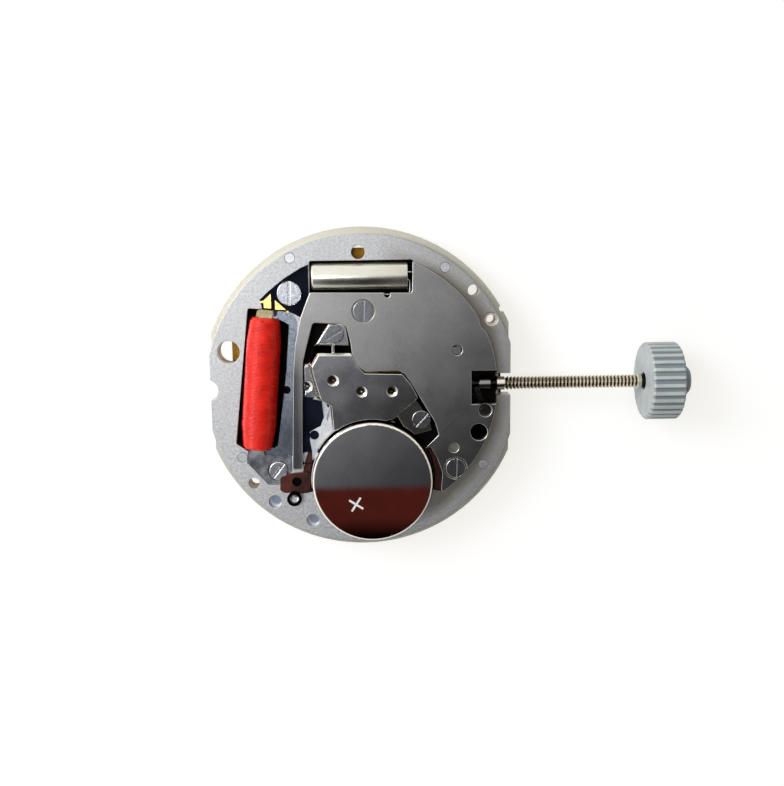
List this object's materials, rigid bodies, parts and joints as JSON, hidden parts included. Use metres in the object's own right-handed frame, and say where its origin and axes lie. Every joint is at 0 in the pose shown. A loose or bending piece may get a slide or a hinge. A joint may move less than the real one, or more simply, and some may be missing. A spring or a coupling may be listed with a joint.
{
  "type": "quartz watch movement",
  "caption": "Round battery watch movement with coil, quartz crystal, gear train, button cell and a setting stem with its knob.",
  "frame": {"origin": "centre of the hands, on the flat face that the dial rests on", "axes": "+X along the setting stem to its knob, +Z towards the battery side, away from the dial and hands"},
  "size_m": [0.0315, 0.0212, 0.0051],
  "materials": {
    "nickelled_brass": "frosted nickel",
    "satin_steel": "satin",
    "bright_steel": "polished",
    "blued_nickel": "satin",
    "spring_steel": "bright",
    "wheel_brass": "polished",
    "gilt_pads": "plated",
    "board_laminate": "dark lacquer",
    "chip_resin": "matt",
    "brown_plastic": "moulded",
    "knob_plastic": "moulded",
    "lacquered_wire": "enamelled copper",
    "core_iron": "annealed",
    "magnet": "ground",
    "cell_steel": "mirror",
    "gasket": "moulded",
    "separator": "felt",
    "cell_powder": "pressed powder"
  },
  "bodies": {
    "movement": {"main_plate": "nickelled_brass", "dial_side_sheet": "satin_steel", "centre_tube": "bright_steel", "module_cover": "satin_steel", "train_bridge": "satin_steel", "circuit_board": "board_laminate", "circuit_pads": "gilt_pads", "integrated_circuit": "chip_resin", "crystal_can": "bright_steel", "crystal_leads": "bright_steel", "coil_winding": "lacquered_wire", "coil_outer_layer": "lacquered_wire", "coil_core": "core_iron", "stator": "blued_nickel", "battery_insulator": "brown_plastic", "positive_contact": "spring_steel", "negative_contact": "spring_steel", "plate_studs": "blued_nickel", "contact_rivet": "bright_steel", "cover_rivet": "bright_steel", "setting_lever_spring": "spring_steel", "yoke": "satin_steel", "cover_screws": "bright_steel", "bridge_screws": "bright_steel", "coil_screw": "bright_steel", "board_screw": "bright_steel", "dial_side_screws": "bright_steel"},
    "setting_lever": {"setting_lever": "satin_steel"},
    "sliding_pinion": {"sliding_pinion": "bright_steel"},
    "stem": {"winding_stem": "bright_steel", "setting_knob": "knob_plastic"},
    "rotor": {"rotor_magnet": "magnet", "rotor_pinion": "bright_steel"},
    "intermediate": {"intermediate_wheel": "wheel_brass"},
    "seconds": {"second_wheel": "wheel_brass", "second_arbor": "bright_steel"},
    "third": {"third_wheel": "wheel_brass"},
    "minutes": {"centre_wheel": "wheel_brass", "cannon_pinion": "bright_steel"},
    "minute_work": {"minute_wheel": "wheel_brass"},
    "hours": {"hour_wheel": "wheel_brass"},
    "setting": {"setting_wheel": "bright_steel"},
    "battery": {"battery_can": "cell_steel", "battery_gasket": "gasket", "battery_cap": "cell_steel", "battery_anode": "cell_powder", "battery_separator": "separator", "battery_cathode": "cell_powder"}
  },
  "joints": [
    {"name": "seconds_turn", "type": "hinge", "parent": "movement", "child": "seconds", "pos_m": [0, 0, 0], "axis": [0, 0, 1], "continuous": true},
    {"name": "rotor_turn", "type": "hinge", "parent": "movement", "child": "rotor", "pos_m": [-0.00355, 0.00039, 0], "axis": [0, 0, 1], "continuous": true},
    {"name": "intermediate_turn", "type": "hinge", "parent": "movement", "child": "intermediate", "pos_m": [-0.00183, 0.00076, 0], "axis": [0, 0, 1], "continuous": true},
    {"name": "third_turn", "type": "hinge", "parent": "movement", "child": "third", "pos_m": [0.00195, 0, 0], "axis": [0, 0, 1], "continuous": true},
    {"name": "minutes_turn", "type": "hinge", "parent": "movement", "child": "minutes", "pos_m": [0, 0, 0], "axis": [0, 0, 1], "continuous": true},
    {"name": "minute_work_turn", "type": "hinge", "parent": "movement", "child": "minute_work", "pos_m": [0.00197, 0.00138, 0], "axis": [0, 0, 1], "continuous": true},
    {"name": "hours_turn", "type": "hinge", "parent": "movement", "child": "hours", "pos_m": [0, 0, 0], "axis": [0, 0, 1], "continuous": true},
    {"name": "setting_turn", "type": "hinge", "parent": "movement", "child": "setting", "pos_m": [0.0044, 0, 0], "axis": [0, 0, 1], "continuous": true},
    {"name": "stem_turn", "type": "hinge", "parent": "movement", "child": "sliding_pinion", "pos_m": [0.0065, 0.0003, 0.00095], "axis": [1, 0, 0], "continuous": true},
    {"name": "stem_pull", "type": "slide", "parent": "sliding_pinion", "child": "stem", "axis": [1, 0, 0], "range_m": [0, 0.001]},
    {"name": "lever_swing", "type": "hinge", "parent": "movement", "child": "setting_lever", "pos_m": [0.00806, -0.00136, 0], "axis": [0, 0, 1], "range_deg": [-34, 0]},
    {"name": "battery_lift", "type": "slide", "parent": "movement", "child": "battery", "axis": [0, 0, 1], "range_m": [0, 0.003]}
  ],
  "couplings": [
    {"joint": "rotor_turn", "follows": "seconds_turn", "ratio": 30},
    {"joint": "intermediate_turn", "follows": "seconds_turn", "ratio": -5},
    {"joint": "third_turn", "follows": "seconds_turn", "ratio": -0.13333},
    {"joint": "minutes_turn", "follows": "seconds_turn", "ratio": 0.016667},
    {"joint": "minute_work_turn", "follows": "seconds_turn", "ratio": -0.0055556},
    {"joint": "hours_turn", "follows": "seconds_turn", "ratio": 0.0013889},
    {"joint": "setting_turn", "follows": "seconds_turn", "ratio": 0.01},
    {"joint": "lever_swing", "follows": "stem_pull", "rad_per_m": -586}
  ]
}
